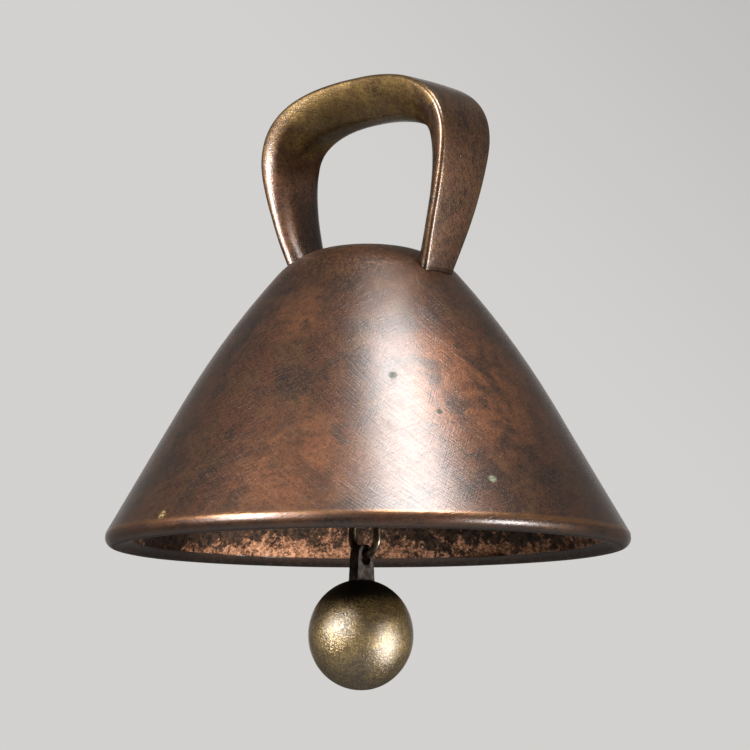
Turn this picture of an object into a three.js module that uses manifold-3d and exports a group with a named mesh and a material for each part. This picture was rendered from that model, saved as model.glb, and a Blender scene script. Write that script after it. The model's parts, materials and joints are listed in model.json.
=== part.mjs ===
// A cone-shaped bronze bell with a D-section loop handle and a ball clapper on a wire chain.
// Millimetres, +Z up, X along the handle's span. The exported group's origin is where the bell hangs:
// the underside of the handle's top, on the bell's axis. Inside the group, heights are measured from
// the lowest circle of the lip.
import * as THREE from "three";
import { mergeVertices } from "three/addons/utils/BufferGeometryUtils.js";
import Module from "manifold-3d";

const wasm = await Module();
wasm.setup();

// ---- driving dimensions ------------------------------------------------------------------------

const gap = 0.3; // clearance between pieces that touch on the real bell

// The shell's outside, from the top of the dome down. Each arc bends the surface on to a steeper slope,
// in degrees from the horizontal, and the last slope runs on as a straight cone.
const domeTop = 64.3;
const domeArcs = [
  { radius: 52.6, slope: 9.9, steps: 2 },
  { radius: 18.1, slope: 48.8, steps: 6 },
  { radius: 172.3, slope: 60, steps: 3 },
];
const innerConeSlope = 61.15; // the inside is steeper, so the wall thickens towards the lip
const wall = 4.2; // at the crown
const lip = {
  arrisHeight: 2.9, // the crisp edge where the cone stops
  radius: 55, // the mouth's largest radius
  round: 2, // radius of the rounded outer edge
  restRadius: 52.4, // inner edge of the narrow flat at the bottom
  bevelRadius: 49.8, // where the inner bevel meets the inside
  bevelHeight: 1.7,
  bevelBend: { in: 1.2, up: 0.1 }, // how far inside the rest the bevel's curve is still almost flat
};
const shellSides = 60;

// The handle's outer face follows two cubic curves on each side, from the foot to the widest place and
// on to the middle of the top. Widths run front to back, depths inwards, at even steps along the curve.
const handle = {
  shift: 1.5, // the loop stands a little off the bell's axis
  footX: 19,
  footHeight: 57.1,
  lean: 19.8, // degrees that a leg leans outwards where it leaves the dome
  leanReach: 4.9,
  wideX: 26.7,
  wideHeight: 84.3,
  wideReachDown: 7.6,
  wideReachUp: 10.7,
  topReach: 16,
  top: 100.1,
  widths: [9.2, 13, 15.4, 16, 13.2],
  depths: [4.5, 4.6, 7.4, 9, 9.4],
  root: 4, // extra length below the foot, cut away along the dome
};
const gripHeight = handle.top - handle.depths.at(-1);

// The slotted screws that hold the handle's feet from inside the crown.
const screw = {
  fromHandleCentre: 17.2, // where the screw's axis leaves the dome
  tilt: 24, // degrees from the vertical
  wallUnderHead: 3.3, // shell left between the spot face and the dome's outside
  spotRadius: 3.1,
  radius: 1.15,
  length: 9,
  headRadius: 2.25,
  headHeight: 1.6,
  slotWidth: 0.6,
  slotDepth: 0.7,
  washerRadius: 2.8,
  washerHeight: 0.5,
};

// The chain hangs plumb from an eye that is screwed into a boss inside the crown.
const hangX = -1.8; // the boss is drilled a little off the bell's axis
const boss = { radius: 5.5, height: 55.2, holeTop: 61.6 };
const eye = { shankRadius: 1.5, shankTop: 61.2, loopRadius: 2.8, wireRadius: 1 };
const lockNut = { acrossFlats: 5.5, height: 2.4, aboveEye: 0.5 };
const link = { endRadius: 3.5, straight: 2.2, wireRadius: 0.9 };
const hanger = { loopRadius: 2.6, wireRadius: 0.8 };
const linkBottom = -1; // the middle of the lower link's lowest wire

// The clapper is a ball on a flat steel tab.
const tab = {
  width: 4.6, // at the hole; it spreads from there to the ball
  footWidth: 5.5,
  thickness: 2,
  holeRadius: 1.4,
  slot: 0.9, // how much longer than wide the hole is
  holeToTop: 2.1,
  tangRadius: 1.3,
  tangLength: 6,
};
const ball = { radius: 11.1, halfHeight: 11.7, height: -17.7 }; // a little taller than wide

// ---- places that follow from them ----------------------------------------------------------------

const nutTop = boss.height - gap;
const eyeLoopHeight = nutTop - lockNut.height - lockNut.aboveEye - eye.wireRadius - eye.loopRadius;
const linkHeight = 2 * link.endRadius + link.straight; // between the middles of its end wires

// Each hinge is at the middle of the wire that the next piece hangs on.
const eyeHinge = eyeLoopHeight - eye.loopRadius;
const topLinkMiddle = eyeHinge + eye.wireRadius + link.wireRadius + gap - linkHeight / 2;
const topLinkHinge = topLinkMiddle - linkHeight / 2;
const hangerTop = topLinkHinge + link.wireRadius + hanger.wireRadius + gap;
const clapperLinkMiddle = linkBottom + linkHeight / 2;
const hangerHinge = linkBottom + linkHeight - link.wireRadius - hanger.wireRadius - gap;

// ---- solids --------------------------------------------------------------------------------------

function toSolid(geometry) {
  const bare = geometry.clone();
  bare.deleteAttribute("normal");
  bare.deleteAttribute("uv");
  const merged = mergeVertices(bare, 1e-4);
  const mesh = new wasm.Mesh({
    numProp: 3,
    vertProperties: merged.attributes.position.array,
    triVerts: new Uint32Array(merged.index.array),
  });
  return new wasm.Manifold(mesh);
}

function toGeometry(solid) {
  const mesh = solid.getMesh();
  const geometry = new THREE.BufferGeometry();
  geometry.setAttribute("position", new THREE.BufferAttribute(mesh.vertProperties, 3));
  geometry.setIndex(new THREE.BufferAttribute(mesh.triVerts, 1));
  return geometry;
}

// A round bar along Z, from one height up to another.
function bar(radius, from, to, sides = 16) {
  const geometry = new THREE.CylinderGeometry(radius, radius, to - from, sides);
  return geometry.rotateX(Math.PI / 2).translate(0, 0, (from + to) / 2);
}

// A wire ring around the X axis.
function wireLoop(loopRadius, wireRadius) {
  return new THREE.TorusGeometry(loopRadius, wireRadius, 8, 20).rotateY(Math.PI / 2);
}

// A surface through equal sections in order, either closed on itself or capped flat at both ends.
function loft(sections, closed) {
  const count = sections[0].length;
  const rows = closed ? sections.length : sections.length - 1;
  const triangles = [];
  for (let row = 0; row < rows; row++) {
    const here = row * count;
    const next = ((row + 1) % sections.length) * count;
    for (let i = 0; i < count; i++) {
      const j = (i + 1) % count;
      triangles.push(here + i, here + j, next + i, here + j, next + j, next + i);
    }
  }
  const last = (sections.length - 1) * count;
  for (let i = 1; !closed && i < count - 1; i++) {
    triangles.push(0, i + 1, i, last, last + i, last + i + 1);
  }
  return new THREE.BufferGeometry().setFromPoints(sections.flat()).setIndex(triangles);
}

// ---- the bell's shell ----------------------------------------------------------------------------

// The outline of a dome and its cone, from the top of the axis down to endHeight.
function domeOutline(top, arcs, endHeight) {
  const outline = [new THREE.Vector2(0, top)];
  let slope = 0;
  for (const arc of arcs) {
    const start = outline.at(-1);
    const end = THREE.MathUtils.degToRad(arc.slope);
    for (let step = 1; step <= arc.steps; step++) {
      const angle = slope + ((end - slope) * step) / arc.steps;
      const outwards = arc.radius * (Math.sin(angle) - Math.sin(slope));
      const down = arc.radius * (Math.cos(slope) - Math.cos(angle));
      outline.push(new THREE.Vector2(start.x + outwards, start.y - down));
    }
    slope = end;
  }
  const { x, y } = outline.at(-1);
  outline.push(new THREE.Vector2(x + (y - endHeight) / Math.tan(slope), endHeight));
  return outline;
}

// The dome's outside moved outwards by an offset, or inwards if it is negative.
function offsetOutline(offset, endHeight, lastSlope) {
  const arcs = domeArcs.map((arc) => ({ ...arc, radius: arc.radius + offset }));
  arcs.at(-1).slope = lastSlope;
  return domeOutline(domeTop + offset, arcs, endHeight);
}

function outerOutline(offset, endHeight) {
  return offsetOutline(offset, endHeight, domeArcs.at(-1).slope);
}

function lipOutline() {
  const centre = new THREE.Vector2(lip.radius - lip.round, lip.round);
  const points = [];
  for (let step = 0; step <= 4; step++) {
    const angle = (-Math.PI / 8) * step;
    points.push(new THREE.Vector2(lip.round, 0).rotateAround(new THREE.Vector2(), angle).add(centre));
  }
  const bevel = new THREE.QuadraticBezierCurve(
    new THREE.Vector2(lip.restRadius, 0),
    new THREE.Vector2(lip.restRadius - lip.bevelBend.in, lip.bevelBend.up),
    new THREE.Vector2(lip.bevelRadius, lip.bevelHeight),
  );
  return [...points, ...bevel.getPoints(3)];
}

// A solid of revolution from an outline that runs down its outside.
function turned(outline) {
  return new THREE.LatheGeometry([...outline].reverse(), shellSides).rotateX(Math.PI / 2);
}

// The dome's height at a distance from the axis.
function domeHeight(radius) {
  const outline = outerOutline(0, lip.arrisHeight);
  const after = outline.findIndex((point) => point.x >= radius);
  const high = outline[after - 1];
  const low = outline[after];
  return high.y + ((low.y - high.y) * (radius - high.x)) / (low.x - high.x);
}

// The frame of a handle screw: its origin is on the spot face and +Z runs up into the foot.
function screwFrame(side) {
  const x = handle.shift + side * screw.fromHandleCentre;
  const tilt = THREE.MathUtils.degToRad(screw.tilt);
  const frame = new THREE.Group();
  frame.rotation.y = side * tilt;
  frame.position.set(
    x - side * screw.wallUnderHead * Math.sin(tilt),
    0,
    domeHeight(Math.abs(x)) - screw.wallUnderHead * Math.cos(tilt),
  );
  frame.updateMatrix();
  return frame;
}

function shellGeometry() {
  const outside = outerOutline(0, lip.arrisHeight);
  const inside = offsetOutline(-wall, lip.bevelHeight, innerConeSlope).reverse();
  let shell = toSolid(turned([...outside, ...lipOutline(), ...inside.slice(1)]));
  const bossBar = bar(boss.radius, boss.height, domeTop - wall / 2, 32).translate(hangX, 0, 0);
  const eyeHole = bar(eye.shankRadius + gap, boss.height - 1, boss.holeTop).translate(hangX, 0, 0);
  shell = shell.add(toSolid(bossBar)).subtract(toSolid(eyeHole));
  for (const side of [-1, 1]) {
    const { matrix } = screwFrame(side);
    const spotFace = bar(screw.spotRadius, -2 * wall, 0, 32).applyMatrix4(matrix);
    const hole = bar(screw.radius + gap, -1, 2 * wall).applyMatrix4(matrix);
    shell = shell.subtract(toSolid(spotFace)).subtract(toSolid(hole));
  }
  return toGeometry(shell);
}

// ---- the handle ----------------------------------------------------------------------------------

// One side of the handle's outer face, from the foot to the middle of the top.
function handleSide() {
  const lean = THREE.MathUtils.degToRad(handle.lean);
  const foot = new THREE.Vector2(handle.footX, handle.footHeight);
  const upLeg = new THREE.Vector2(Math.sin(lean), Math.cos(lean));
  const wide = new THREE.Vector2(handle.wideX, handle.wideHeight);
  const leg = new THREE.CubicBezierCurve(
    foot,
    foot.clone().addScaledVector(upLeg, handle.leanReach),
    new THREE.Vector2(wide.x, wide.y - handle.wideReachDown),
    wide,
  );
  const shoulder = new THREE.CubicBezierCurve(
    wide,
    new THREE.Vector2(wide.x, wide.y + handle.wideReachUp),
    new THREE.Vector2(handle.topReach, handle.top),
    new THREE.Vector2(0, handle.top),
  );
  return { foot, upLeg, leg, shoulder };
}

// A D-section at a point of the outer face: a flat from front to back, and a half ellipse inwards.
function handleSection(point, tangent, size) {
  const inwards = new THREE.Vector2(-tangent.y, tangent.x);
  const section = [];
  const steps = 12;
  for (let step = 0; step <= steps; step++) {
    const angle = (Math.PI * step) / steps;
    const place = point.clone().addScaledVector(inwards, size.y * Math.sin(angle));
    section.push(new THREE.Vector3(place.x, (size.x / 2) * Math.cos(angle), place.y));
  }
  return section;
}

function handleGeometry() {
  const { foot, upLeg, leg, shoulder } = handleSide();
  const sizes = new THREE.SplineCurve(
    handle.widths.map((width, i) => new THREE.Vector2(width, handle.depths[i])),
  );
  const root = foot.clone().addScaledVector(upLeg, -handle.root);
  const sections = [handleSection(root, upLeg, sizes.getPoint(0))];
  const steps = 11;
  for (let step = 0; step <= steps; step++) {
    const t = step / steps;
    sections.push(handleSection(leg.getPoint(t), leg.getTangent(t), sizes.getPoint(t / 2)));
  }
  for (let step = 1; step <= steps; step++) {
    const t = step / steps;
    sections.push(handleSection(shoulder.getPoint(t), shoulder.getTangent(t), sizes.getPoint((1 + t) / 2)));
  }
  const mirror = ({ x, y, z }) => new THREE.Vector3(-x, y, z);
  const otherSide = sections.slice(0, -1).map((section) => section.map(mirror)).reverse();
  const loop = loft([...sections, ...otherSide], false).translate(handle.shift, 0, 0);
  const underFeet = handle.footHeight - 4 * handle.root; // well below everything that the dome cuts away
  const dome = turned([...outerOutline(gap, underFeet), new THREE.Vector2(0, underFeet)]);
  let solid = toSolid(loop).subtract(toSolid(dome));
  for (const side of [-1, 1]) {
    const hole = bar(screw.radius + gap, 0, screw.length + gap).applyMatrix4(screwFrame(side).matrix);
    solid = solid.subtract(toSolid(hole));
  }
  return toGeometry(solid);
}

// ---- screws, washers and the crown's eye ---------------------------------------------------------

function screwGeometry() {
  const headTop = -gap - screw.washerHeight - gap;
  const headBottom = headTop - screw.headHeight;
  const head = bar(screw.headRadius, headBottom, headTop, 24);
  const shank = bar(screw.radius, headTop - screw.headHeight / 3, screw.length);
  const slot = new THREE.BoxGeometry(screw.slotWidth, 3 * screw.headRadius, 2 * screw.slotDepth);
  slot.translate(0, 0, headBottom);
  return toGeometry(toSolid(head).add(toSolid(shank)).subtract(toSolid(slot)));
}

function washerGeometry() {
  const bottom = -gap - screw.washerHeight;
  const disc = bar(screw.washerRadius, bottom, -gap, 28);
  const hole = bar(screw.radius + gap, bottom - 1, 1);
  return toGeometry(toSolid(disc).subtract(toSolid(hole)));
}

function eyeGeometry() {
  const shank = bar(eye.shankRadius, eyeLoopHeight + eye.loopRadius, eye.shankTop);
  const loop = wireLoop(eye.loopRadius, eye.wireRadius).translate(0, 0, eyeLoopHeight);
  return toGeometry(toSolid(shank).add(toSolid(loop)));
}

function nutGeometry() {
  const corner = lockNut.acrossFlats / Math.sqrt(3);
  const hexagon = bar(corner, nutTop - lockNut.height, nutTop, 6);
  const hole = bar(eye.shankRadius + gap, nutTop - lockNut.height - 1, nutTop + 1);
  return toGeometry(toSolid(hexagon).subtract(toSolid(hole)));
}

// ---- the chain and the clapper -------------------------------------------------------------------

// A wire link in the XZ plane with round ends, centred on its middle.
function linkGeometry() {
  const sections = [];
  const halfSteps = 10;
  for (const end of [1, -1]) {
    for (let step = 0; step <= halfSteps; step++) {
      const angle = (Math.PI * step) / halfSteps - (end < 0 ? Math.PI : 0);
      const outwards = new THREE.Vector3(Math.cos(angle), 0, Math.sin(angle));
      const middle = outwards.clone().multiplyScalar(link.endRadius);
      middle.z += (end * link.straight) / 2;
      sections.push(wireSection(middle, outwards));
    }
  }
  return loft(sections, true);
}

// The round section of a wire whose middle is at a point, with one spoke along outwards and one along Y.
function wireSection(middle, outwards) {
  const sides = 8;
  return Array.from({ length: sides }, (_, i) => {
    const angle = (2 * Math.PI * i) / sides;
    const point = middle.clone().addScaledVector(outwards, link.wireRadius * Math.cos(angle));
    point.y += link.wireRadius * Math.sin(angle);
    return point;
  });
}

// A straight wire with an eye at each end. Its origin is the hinge at its top.
function hangerGeometry() {
  const upper = hangerTop - hanger.loopRadius - topLinkHinge;
  const lower = hangerHinge + hanger.loopRadius - topLinkHinge;
  const shank = bar(hanger.wireRadius, lower + hanger.loopRadius, upper - hanger.loopRadius, 12);
  const loops = [upper, lower].map((height) =>
    toSolid(wireLoop(hanger.loopRadius, hanger.wireRadius).translate(0, 0, height)),
  );
  return toGeometry(toSolid(shank).add(loops[0]).add(loops[1]));
}

// The tab's outline in the plane of its broad faces, as a shape with height along its y.
function tabOutline(bottom) {
  const half = tab.width / 2;
  const shape = new THREE.Shape();
  shape.moveTo(-tab.footWidth / 2, bottom);
  shape.lineTo(tab.footWidth / 2, bottom);
  shape.lineTo(half, tab.holeToTop - half);
  shape.absarc(0, tab.holeToTop - half, half, 0, Math.PI, false);
  const hole = new THREE.Path();
  hole.absarc(0, 0, tab.holeRadius, 0, Math.PI, false);
  hole.absarc(0, -tab.slot, tab.holeRadius, Math.PI, 2 * Math.PI, false);
  shape.holes.push(hole);
  return shape;
}

// The tab's origin is the hinge, at the middle of the link's lowest wire.
function tabGeometry() {
  const ballCentre = ball.height - linkBottom;
  const ballTop = ballCentre + ball.halfHeight;
  const inBall = 1; // how far the plate and the tang run past the ball's top, either way
  const plate = new THREE.ExtrudeGeometry(tabOutline(ballTop - inBall), {
    depth: tab.thickness,
    bevelEnabled: false,
    curveSegments: 10,
  });
  plate.translate(0, 0, -tab.thickness / 2).rotateX(Math.PI / 2).rotateZ(Math.PI / 2);
  const seat = ballShape(gap, 32, 24).translate(0, 0, ballCentre);
  const tang = bar(tab.tangRadius, ballTop - tab.tangLength, ballTop + inBall, 14);
  return toGeometry(toSolid(plate).subtract(toSolid(seat)).add(toSolid(tang)));
}

// The ball's round surface about its own centre, moved outwards by an offset.
function ballShape(offset, sides, rings) {
  const sphere = new THREE.SphereGeometry(1, sides, rings).rotateX(Math.PI / 2);
  const wide = ball.radius + offset;
  return sphere.scale(wide, wide, ball.halfHeight + offset);
}

// The ball with the hole that takes the tab's tang.
function ballGeometry() {
  const holeBottom = ball.halfHeight - tab.tangLength - gap;
  const hole = bar(tab.tangRadius + gap, holeBottom, ball.halfHeight + 1, 14);
  return toGeometry(toSolid(ballShape(0, 28, 16)).subtract(toSolid(hole)));
}

// ---- assembly ------------------------------------------------------------------------------------

function metal(color, roughness) {
  return new THREE.MeshStandardMaterial({ color, roughness, metalness: 1 });
}

const bronze = () => metal(0x5a382a, 0.42);
const wornBronze = () => metal(0x6b5030, 0.4);
const ballBrass = () => metal(0x6f5c2f, 0.45);
const wireBrass = () => metal(0x7b6434, 0.35);
const darkSteel = () => metal(0x47403a, 0.5);

function piece(name, geometry, material) {
  const mesh = new THREE.Mesh(geometry, material);
  mesh.name = name;
  return mesh;
}

// A group at a height below its parent's origin, so that each hinge's group hangs in the one above.
function hungAt(height, parentHeight, ...children) {
  const group = new THREE.Group();
  group.position.z = height - parentHeight;
  group.add(...children);
  return group;
}

const bell = new THREE.Group();
bell.name = "temple_bell";
const fromLip = new THREE.Group();
fromLip.position.z = -gripHeight;
bell.add(fromLip);

fromLip.add(piece("bell_shell", shellGeometry(), bronze()));
fromLip.add(piece("handle", handleGeometry(), wornBronze()));
for (const side of [-1, 1]) {
  const word = side < 0 ? "left" : "right";
  const frame = screwFrame(side);
  frame.add(piece("handle_screw_" + word, screwGeometry(), wireBrass()));
  frame.add(piece("handle_washer_" + word, washerGeometry(), wireBrass()));
  fromLip.add(frame);
}

const ballMesh = piece("clapper_ball", ballGeometry(), ballBrass());
ballMesh.position.z = ball.height - linkBottom;
const clapper = hungAt(linkBottom, hangerHinge, piece("clapper_tab", tabGeometry(), darkSteel()), ballMesh);

const clapperLink = piece("clapper_link", linkGeometry(), wireBrass());
clapperLink.position.z = clapperLinkMiddle - hangerHinge;
const lowerLink = hungAt(hangerHinge, topLinkHinge, clapperLink, clapper);

const hangerWire = piece("hanger_wire", hangerGeometry(), wireBrass());
const hangerGroup = hungAt(topLinkHinge, eyeHinge, hangerWire, lowerLink);

const topLink = piece("top_link", linkGeometry(), wireBrass());
topLink.position.z = topLinkMiddle - eyeHinge;
const chain = hungAt(eyeHinge, 0, topLink, hangerGroup);

const crownFittings = new THREE.Group();
crownFittings.position.x = hangX;
crownFittings.add(piece("crown_eye", eyeGeometry(), wireBrass()));
crownFittings.add(piece("eye_lock_nut", nutGeometry(), wireBrass()));
crownFittings.add(chain);
fromLip.add(crownFittings);

export default bell;
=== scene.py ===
import json
import math

import bmesh
import bpy
from mathutils import Matrix, Vector, noise


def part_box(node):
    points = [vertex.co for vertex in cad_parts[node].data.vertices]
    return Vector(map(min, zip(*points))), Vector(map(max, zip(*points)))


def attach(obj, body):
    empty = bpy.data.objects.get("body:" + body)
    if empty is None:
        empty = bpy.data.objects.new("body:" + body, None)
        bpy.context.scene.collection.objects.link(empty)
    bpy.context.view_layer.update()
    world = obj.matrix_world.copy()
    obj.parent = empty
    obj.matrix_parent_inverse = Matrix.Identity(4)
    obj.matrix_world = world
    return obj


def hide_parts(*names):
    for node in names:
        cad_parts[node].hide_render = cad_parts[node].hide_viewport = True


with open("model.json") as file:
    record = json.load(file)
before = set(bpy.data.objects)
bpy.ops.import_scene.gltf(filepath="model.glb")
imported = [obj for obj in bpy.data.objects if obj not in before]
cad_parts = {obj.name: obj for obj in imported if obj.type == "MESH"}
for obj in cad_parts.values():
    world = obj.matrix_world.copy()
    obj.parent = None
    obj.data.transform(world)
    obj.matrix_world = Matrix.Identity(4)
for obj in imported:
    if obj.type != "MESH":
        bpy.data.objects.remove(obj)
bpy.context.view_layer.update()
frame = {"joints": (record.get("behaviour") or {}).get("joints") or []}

# ---- sizes read from the frame ----

shell_low, shell_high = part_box("bell_shell")
handle_low, handle_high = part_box("handle")
ball_low, ball_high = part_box("clapper_ball")
nut_low, nut_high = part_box("eye_lock_nut")
eye_low, eye_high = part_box("crown_eye")
hanger_low, hanger_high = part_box("hanger_wire")
tab_low, tab_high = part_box("clapper_tab")
hinges = {joint["name"]: Vector(joint["pos_m"]) for joint in frame["joints"]}

MOUTH = shell_high.x  # the mouth's radius
MM = MOUTH / 55  # one millimetre, as long as the bell is 110 mm across
LIP = shell_low.z
DOME = shell_high.z
CAMERA_TURN = math.radians(42.68)  # round the bell, from the front of the handle's opening

# ---- the shell's outline ----

ARRIS = LIP + 2.9 * MM  # height of the crisp edge where the cone stops
WALL = 4.2 * MM
OUTER_ARCS = [  # radius, and slope at the lower end
    (52.6 * MM, math.radians(9.9)),
    (18.1 * MM, math.radians(48.8)),
    (172.3 * MM, math.radians(60)),
]
INNER_SLOPE = math.radians(61.15)
LIP_ROUND = 2 * MM
REST_RADIUS = MOUTH - 2.6 * MM
BEND = Vector((REST_RADIUS - 1.2 * MM, LIP + 0.1 * MM))  # where the narrow rest turns into the bevel
BEVEL = Vector((MOUTH - 5.2 * MM, LIP + 1.7 * MM))
SEAM = 0.135 * MM  # the fine gap between the handle's feet and the dome
ARC_STEP = math.radians(1.5)
CONE_STEP = 1.5 * MM


def dome_outline(top, arcs, end):
    """Points (radius, height) down a dome of arcs and the straight cone below it, to a height."""
    points = [Vector((0, top))]
    slope = 0
    for radius, last in arcs:
        start = points[-1]
        steps = max(2, round((last - slope) / ARC_STEP))
        for step in range(1, steps + 1):
            angle = slope + (last - slope) * step / steps
            out = radius * (math.sin(angle) - math.sin(slope))
            down = radius * (math.cos(slope) - math.cos(angle))
            points.append(start + Vector((out, -down)))
        slope = last
    start = points[-1]
    finish = Vector((start.x + (start.y - end) / math.tan(slope), end))
    steps = round((finish - start).length / CONE_STEP)
    return points + [start.lerp(finish, step / steps) for step in range(1, steps + 1)]


OUTSIDE = dome_outline(DOME, OUTER_ARCS, ARRIS)


def rounded_corner(before, corner, after, reach, steps=5):
    """A short curve in place of a corner, reaching the same distance along both sides."""
    start = corner + (before - corner).normalized() * reach
    end = corner + (after - corner).normalized() * reach
    curve = []
    for step in range(steps + 1):
        t = step / steps
        curve.append(start.lerp(corner, t).lerp(corner.lerp(end, t), t))
    return curve


def lip_outline():
    """The rounded outer edge, the narrow rest and the inner bevel, from the outside in."""
    centre = Vector((MOUTH - LIP_ROUND, LIP + LIP_ROUND))
    points = []
    for step in range(13):
        angle = -math.pi / 2 * step / 12
        points.append(centre + LIP_ROUND * Vector((math.cos(angle), math.sin(angle))))
    start = Vector((REST_RADIUS, LIP))
    for step in range(9):
        t = step / 8
        points.append(start.lerp(BEND, t).lerp(BEND.lerp(BEVEL, t), t))
    return points


def shell_outline():
    """The shell's whole outline (radius, height), from the top down the outside and up the inside."""
    lip = lip_outline()
    inner_arcs = [(radius - WALL, slope) for radius, slope in OUTER_ARCS]
    inner_arcs[-1] = (inner_arcs[-1][0], INNER_SLOPE)
    inside = dome_outline(DOME - WALL, inner_arcs, BEVEL.y)
    arris = rounded_corner(OUTSIDE[-2], OUTSIDE[-1], lip[0], 0.35 * MM)
    inner_edge = rounded_corner(lip[-2], lip[-1], inside[-2], 0.25 * MM, 3)
    return OUTSIDE[:-1] + arris + lip[:-1] + inner_edge + inside[-2::-1]


def dome_height(radius):
    """The height of the dome's outside at a distance from the axis."""
    for high, low in zip(OUTSIDE, OUTSIDE[1:]):
        if low.x >= radius:
            return high.y + (low.y - high.y) * (radius - high.x) / (low.x - high.x)
    return ARRIS


# ---- mesh tools ----

ALONG = Vector((1, 0, 0))  # links stand in the XZ plane
ACROSS = Vector((0, 1, 0))  # eyes stand in the YZ plane
UP = Vector((0, 0, 1))
ORIGIN = Vector((0, 0))


def finish_mesh(name, shape, sharp=30):
    """Turns a bmesh into an object in the scene."""
    bmesh.ops.recalc_face_normals(shape, faces=shape.faces)
    mesh = bpy.data.meshes.new(name)
    shape.to_mesh(mesh)
    shape.free()
    piece = bpy.data.objects.new(name, mesh)
    bpy.context.scene.collection.objects.link(piece)
    smooth(piece, sharp)
    return piece


def smooth(piece, sharp=30):
    """Shades a piece smooth except where its faces meet at more than the sharp angle."""
    piece.data.shade_smooth()
    piece.data.set_sharp_from_angle(angle=math.radians(sharp))


def stitch(shape, rows, closed=False):
    """Quads between rows of vertices. A row of one vertex is a pole."""
    pairs = list(zip(rows, rows[1:]))
    if closed:
        pairs.append((rows[-1], rows[0]))
    for row, other in pairs:
        count = max(len(row), len(other))
        for i in range(count):
            j = (i + 1) % count
            if len(row) == 1:
                shape.faces.new((row[0], other[i], other[j]))
            elif len(other) == 1:
                shape.faces.new((row[i], other[0], row[j]))
            else:
                shape.faces.new((row[i], other[i], other[j], row[j]))


def lathe(name, outline, sides, axis=ORIGIN, sharp=30):
    """A solid turned about a vertical axis from its outline (radius, height). Radius 0 is a pole."""
    shape = bmesh.new()
    rows = []
    for point in outline:
        around = 1 if point[0] == 0 else sides
        row = []
        for i in range(around):
            angle = 2 * math.pi * i / sides
            x = axis.x + point[0] * math.cos(angle)
            y = axis.y + point[0] * math.sin(angle)
            row.append(shape.verts.new((x, y, point[1])))
        rows.append(row)
    stitch(shape, rows, len(rows[0]) > 1)
    return finish_mesh(name, shape, sharp)


WIRE_TIP = ((-0.12, 0.6), (0, 0.88), (0.12, 1))  # shifts along and sizes, as shares of the wire's radius


def sweep(name, path, radius, sides):
    """A round wire along an open path of points, with slightly rounded ends."""
    shape = bmesh.new()
    count = len(path)
    rows = []
    side = None
    for i, point in enumerate(path):
        along = (path[min(i + 1, count - 1)] - path[max(i - 1, 0)]).normalized()
        if side is None:
            side = along.orthogonal().normalized()
        side = (side - along * side.dot(along)).normalized()
        other = along.cross(side)
        rings = [(0, 1)]
        if i == 0:
            rings = WIRE_TIP
        elif i == count - 1:
            rings = [(-shift, size) for shift, size in reversed(WIRE_TIP)]
        for shift, size in rings:
            ring = []
            for j in range(sides):
                angle = 2 * math.pi * j / sides
                out = side * math.cos(angle) + other * math.sin(angle)
                ring.append(shape.verts.new(point + (along * shift + out * size) * radius))
            rows.append(ring)
    stitch(shape, rows)
    shape.faces.new(rows[0])
    shape.faces.new(rows[-1])
    return finish_mesh(name, shape)


def bake_modifiers(piece):
    """Applies a piece's modifiers to its mesh."""
    evaluated = piece.evaluated_get(bpy.context.evaluated_depsgraph_get())
    mesh = bpy.data.meshes.new_from_object(evaluated)
    piece.modifiers.clear()
    piece.data = mesh


def combine(piece, tool, operation="DIFFERENCE"):
    """Cuts a tool out of a piece, or joins or intersects them, and deletes the tool."""
    modifier = piece.modifiers.new(operation, "BOOLEAN")
    modifier.operation = operation
    modifier.object = tool
    modifier.solver = "EXACT"
    bake_modifiers(piece)
    bpy.data.objects.remove(tool)
    smooth(piece)


def rod(name, radius, bottom, top, sides, axis=ORIGIN, place=None):
    """A plain round tool for cuts and joins, along Z or turned by a matrix."""
    tool = lathe(name, [(0, top), (radius, top), (radius, bottom), (0, bottom)], sides, axis)
    if place is not None:
        tool.data.transform(place)
    return tool


def block(name, size, centre):
    """A plain rectangular tool for cuts."""
    shape = bmesh.new()
    bmesh.ops.create_cube(shape, size=1, matrix=Matrix.Translation(centre) @ Matrix.Diagonal((*size, 1)))
    return finish_mesh(name, shape)


def soften(piece, width, segments=2):
    """Rounds the hard edges of a machined piece."""
    modifier = piece.modifiers.new("soften", "BEVEL")
    modifier.width = width
    modifier.segments = segments
    modifier.limit_method = "ANGLE"
    modifier.angle_limit = math.radians(35)
    bake_modifiers(piece)
    smooth(piece, 40)


def uneven(point, *waves):
    """A sum of smooth noises at a point, each given by its height and length in millimetres."""
    return MM * sum(height * noise.noise(point / (length * MM)) for height, length in waves)


def install(piece, body, node, material):
    """Gives a piece its material and hangs it on the CAD body in place of a CAD node."""
    piece.data.materials.clear()
    piece.data.materials.append(material)
    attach(piece, body)
    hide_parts(node)
    return piece


# ---- the fastenings' places ----

SCREW_TILT = math.radians(24)
SCREW_OUT = 17.2 * MM  # from the handle's middle to where a screw's axis leaves the dome
SCREW_SEAT = 3.3 * MM  # shell left under a washer
SPOT_RADIUS = 3.1 * MM
SCREW_HOLE = 1.45 * MM
EYE_HOLE = 1.8 * MM
EYE_HOLE_ROOF = 2.7 * MM  # shell left over the eye screw's blind hole
BOSS_RADIUS = 5.5 * MM
CUT_LENGTH = 7 * MM  # long enough to cut right through the crown or the boss
handle_middle = (handle_low.x + handle_high.x) / 2
hang_x = hinges["eye_to_link"].x
hang_axis = Vector((hang_x, 0))


def screw_place(side):
    """The frame of a handle screw: origin on its spot face, Z up into the foot."""
    x = handle_middle + side * SCREW_OUT
    surface = Vector((x, 0, dome_height(abs(x))))
    turn = Matrix.Rotation(side * SCREW_TILT, 4, "Y")
    seat = surface - turn @ UP * SCREW_SEAT
    return Matrix.Translation(seat) @ turn


# ---- the shell ----


def depth_inside(point):
    """How far below the dome's outside a point lies, straight down."""
    return dome_height(math.hypot(point.x, point.y)) - point.z


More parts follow.
